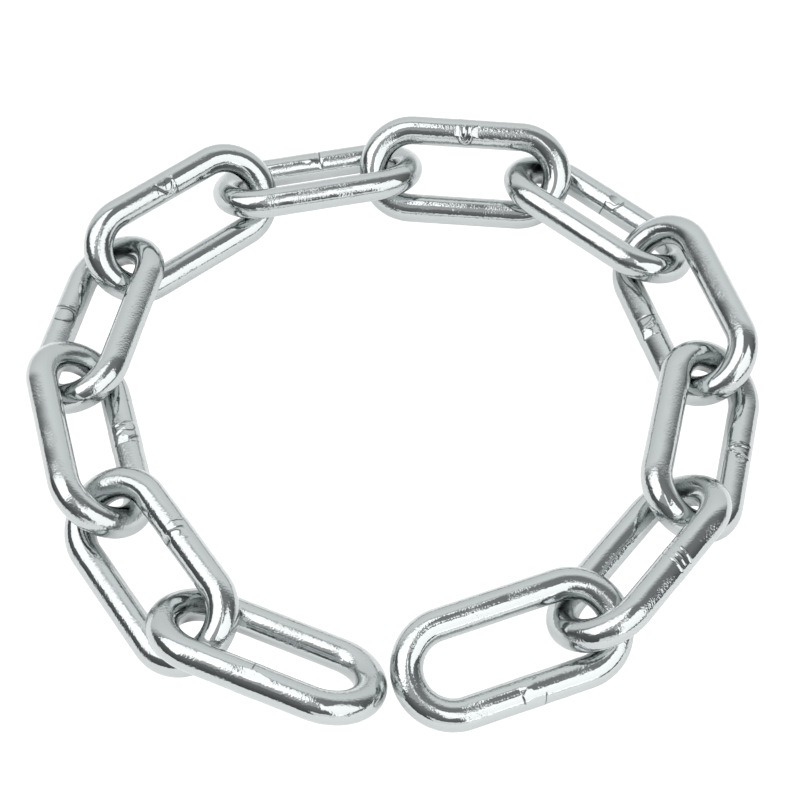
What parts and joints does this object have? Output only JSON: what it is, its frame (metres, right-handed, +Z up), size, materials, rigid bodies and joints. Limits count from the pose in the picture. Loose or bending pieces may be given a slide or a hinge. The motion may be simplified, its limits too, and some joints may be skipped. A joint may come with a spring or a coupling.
{
  "type": "length of welded steel link chain",
  "caption": "Short length of bright steel chain lying in an open ring: welded oval links of round wire, leaning over to alternate sides.",
  "frame": {"origin": "middle of the ring's outline in plan, on the floor that the lower legs lie on", "axes": "+Z up from the floor; +X to the right and +Y away from a viewer who has the gap between the two end links in front"},
  "size_m": [0.1902, 0.1846, 0.022],
  "materials": {
    "polished_steel": "bright polished"
  },
  "bodies": {
    "link_01": {"link_01": "polished_steel"},
    "link_02": {"link_02": "polished_steel"},
    "link_03": {"link_03": "polished_steel"},
    "link_04": {"link_04": "polished_steel"},
    "link_05": {"link_05": "polished_steel"},
    "link_06": {"link_06": "polished_steel"},
    "link_07": {"link_07": "polished_steel"},
    "link_08": {"link_08": "polished_steel"},
    "link_09": {"link_09": "polished_steel"},
    "link_10": {"link_10": "polished_steel"},
    "link_11": {"link_11": "polished_steel"},
    "link_12": {"link_12": "polished_steel"}
  },
  "joints": [
    {"name": "swing_02_01", "type": "hinge", "parent": "link_02", "child": "link_01", "pos_m": [-0.04179, -0.05944, 0], "axis": [0, 0, -1], "range_deg": [0, 14]},
    {"name": "swing_03_02", "type": "hinge", "parent": "link_03", "child": "link_02", "pos_m": [-0.06292, -0.02925, 0], "axis": [0, 0, -1], "range_deg": [0, 34]},
    {"name": "swing_04_03", "type": "hinge", "parent": "link_04", "child": "link_03", "pos_m": [-0.07366, 0.0073, 0], "axis": [0, 0, -1], "range_deg": [0, 10]},
    {"name": "swing_05_04", "type": "hinge", "parent": "link_05", "child": "link_04", "pos_m": [-0.06624, 0.04077, 0], "axis": [0, 0, -1], "range_deg": [0, 18]},
    {"name": "swing_06_05", "type": "hinge", "parent": "link_06", "child": "link_05", "pos_m": [-0.03776, 0.06402, 0], "axis": [0, 0, -1], "range_deg": [0, 20]},
    {"name": "swing_06_07", "type": "hinge", "parent": "link_06", "child": "link_07", "pos_m": [-0.00064, 0.07142, 0], "axis": [0, 0, 1], "range_deg": [0, 15]},
    {"name": "swing_07_08", "type": "hinge", "parent": "link_07", "child": "link_08", "pos_m": [0.03748, 0.06719, 0], "axis": [0, 0, 1], "range_deg": [0, 35]},
    {"name": "swing_08_09", "type": "hinge", "parent": "link_08", "child": "link_09", "pos_m": [0.06393, 0.04418, 0], "axis": [0, 0, 1], "range_deg": [0, 16]},
    {"name": "swing_09_10", "type": "hinge", "parent": "link_09", "child": "link_10", "pos_m": [0.07444, 0.00819, 0], "axis": [0, 0, 1], "range_deg": [0, 35]},
    {"name": "swing_10_11", "type": "hinge", "parent": "link_10", "child": "link_11", "pos_m": [0.06549, -0.02822, 0], "axis": [0, 0, 1], "range_deg": [0, 35]},
    {"name": "swing_11_12", "type": "hinge", "parent": "link_11", "child": "link_12", "pos_m": [0.04208, -0.05708, 0], "axis": [0, 0, 1], "range_deg": [0, 22]}
  ]
}
